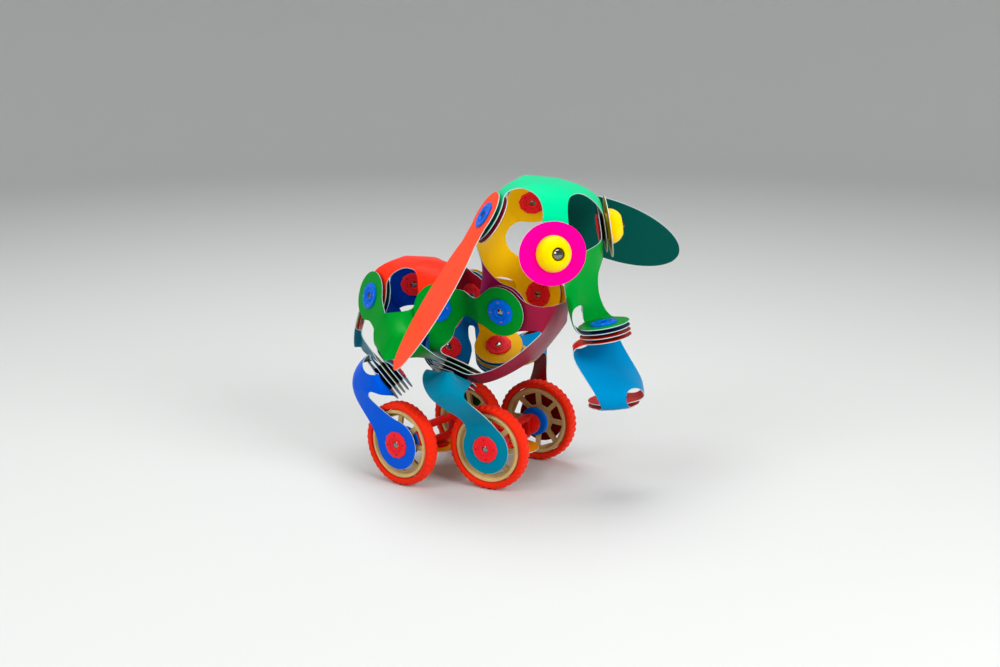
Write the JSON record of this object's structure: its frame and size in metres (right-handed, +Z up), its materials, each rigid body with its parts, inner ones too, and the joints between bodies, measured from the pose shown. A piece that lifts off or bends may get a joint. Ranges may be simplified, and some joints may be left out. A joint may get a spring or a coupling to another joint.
{
  "type": "wheeled toy elephant",
  "caption": "Wheeled toy elephant bent from coloured plastic sheets joined by snap buttons, with swinging ears, a turning trunk and rolling wheels.",
  "frame": {"origin": "on the floor under the middle of the toy's box", "axes": "+X is the way the elephant faces, +Y is its left side, +Z is up"},
  "size_m": [0.2412, 0.2088, 0.2255],
  "materials": {
    "mint_film": "satin printed film with a pale cut edge",
    "golden_film": "satin printed film with a pale cut edge",
    "green_film": "satin printed film with a pale cut edge",
    "sky_film": "satin printed film with a pale cut edge",
    "red_film": "satin printed film with a pale cut edge",
    "navy_film": "satin printed film with a pale cut edge",
    "maroon_film": "satin printed film with a pale cut edge",
    "dark_teal_film": "satin printed film with a pale cut edge",
    "orange_film": "satin printed film with a pale cut edge",
    "blue_film": "satin printed film with a pale cut edge",
    "teal_film": "satin printed film with a pale cut edge",
    "royal_film": "satin printed film with a pale cut edge",
    "coral_film": "satin printed film with a pale cut edge",
    "pink_film": "satin printed film with a pale cut edge",
    "blue_snap": "moulded, semi-gloss",
    "red_snap": "moulded, semi-gloss",
    "yellow_dome": "moulded, soft satin",
    "steel_ball": "polished steel",
    "red_tyre": "soft moulded tread",
    "tan_rim": "speckled wood-fibre plastic",
    "red_frame": "moulded, semi-gloss"
  },
  "bodies": {
    "elephant": {"axle_frame_front": "red_frame", "axle_frame_rear": "red_frame", "back": "red_film", "chassis_strap": "orange_film", "chest": "maroon_film", "ear_snaps_fixed_left": "red_snap", "ear_snaps_fixed_right": "red_snap", "eye_snaps_fixed_left": "red_snap", "eye_snaps_fixed_right": "red_snap", "face": "green_film", "flank_front_left": "dark_teal_film", "flank_front_right": "green_film", "flank_rear_left": "blue_film", "flank_rear_right": "green_film", "front_leg_snaps_left": "blue_snap", "front_leg_snaps_right": "blue_snap", "head_back": "golden_film", "head_top": "mint_film", "hub_snap_front_left": "red_snap", "hub_snap_front_right": "red_snap", "hub_snap_rear_left": "red_snap", "hub_snap_rear_right": "red_snap", "leg_front_left": "blue_film", "leg_front_right": "teal_film", "leg_rear_left": "navy_film", "leg_rear_right": "royal_film", "mid_snaps_left": "blue_snap", "mid_snaps_right": "blue_snap", "rear_leg_snaps_left": "blue_snap", "rear_leg_snaps_right": "blue_snap", "rump": "navy_film", "rump_snaps_left": "blue_snap", "rump_snaps_right": "blue_snap", "shoulder_snaps_left": "blue_snap", "shoulder_snaps_right": "blue_snap", "tail": "dark_teal_film", "tail_snap": "red_snap", "trunk_root_snaps": "blue_snap"},
    "wheel_front_right": {"tyre_front_right": "red_tyre", "rim_front_right": "tan_rim"},
    "wheel_front_left": {"tyre_front_left": "red_tyre", "rim_front_left": "tan_rim"},
    "wheel_rear_right": {"tyre_rear_right": "red_tyre", "rim_rear_right": "tan_rim"},
    "wheel_rear_left": {"tyre_rear_left": "red_tyre", "rim_rear_left": "tan_rim"},
    "ear_right_leaf": {"ear_right": "coral_film", "ear_snap_right": "blue_snap"},
    "eye_right": {"eye_disc_right": "pink_film", "eye_dome_right": "yellow_dome", "eye_ball_right": "steel_ball"},
    "ear_left_leaf": {"ear_left": "dark_teal_film", "ear_snap_left": "blue_snap"},
    "eye_left": {"eye_disc_left": "pink_film", "eye_dome_left": "yellow_dome", "eye_ball_left": "steel_ball"},
    "trunk_sheet": {"trunk": "sky_film", "trunk_top_snaps": "red_snap", "trunk_tip_snaps": "blue_snap"}
  },
  "joints": [
    {"name": "wheel_front_right_spin", "type": "hinge", "parent": "elephant", "child": "wheel_front_right", "pos_m": [0.0154, -0.04741, 0.0315], "axis": [0, 1, 0], "continuous": true},
    {"name": "wheel_front_left_spin", "type": "hinge", "parent": "elephant", "child": "wheel_front_left", "pos_m": [0.0154, 0.02959, 0.0315], "axis": [0, 1, 0], "continuous": true},
    {"name": "wheel_rear_right_spin", "type": "hinge", "parent": "elephant", "child": "wheel_rear_right", "pos_m": [-0.04579, -0.06983, 0.0315], "axis": [0.1736, 0.9848, 0], "continuous": true},
    {"name": "wheel_rear_left_spin", "type": "hinge", "parent": "elephant", "child": "wheel_rear_left", "pos_m": [-0.03242, 0.006, 0.0315], "axis": [0.1736, 0.9848, 0], "continuous": true},
    {"name": "ear_right_swing", "type": "hinge", "parent": "elephant", "child": "ear_right_leaf", "pos_m": [0.0114, -0.04691, 0.2025], "axis": [-0.6288, -0.5789, 0.519], "range_deg": [-5, 180]},
    {"name": "ear_left_swing", "type": "hinge", "parent": "elephant", "child": "ear_left_leaf", "pos_m": [0.0104, 0.02808, 0.2045], "axis": [-0.4194, 0.7888, 0.4493], "range_deg": [-180, 70]},
    {"name": "eye_right_spin", "type": "hinge", "parent": "elephant", "child": "eye_right", "pos_m": [0.0654, -0.04691, 0.1801], "axis": [0.7664, -0.6271, 0.1393], "continuous": true},
    {"name": "eye_left_spin", "type": "hinge", "parent": "elephant", "child": "eye_left", "pos_m": [0.0724, 0.02908, 0.1875], "axis": [0.8561, 0.4977, 0.1394], "continuous": true},
    {"name": "trunk_turn", "type": "hinge", "parent": "elephant", "child": "trunk_sheet", "pos_m": [0.0894, -0.01291, 0.1255], "axis": [-0.1804, -0.0501, 0.9823], "continuous": true}
  ]
}
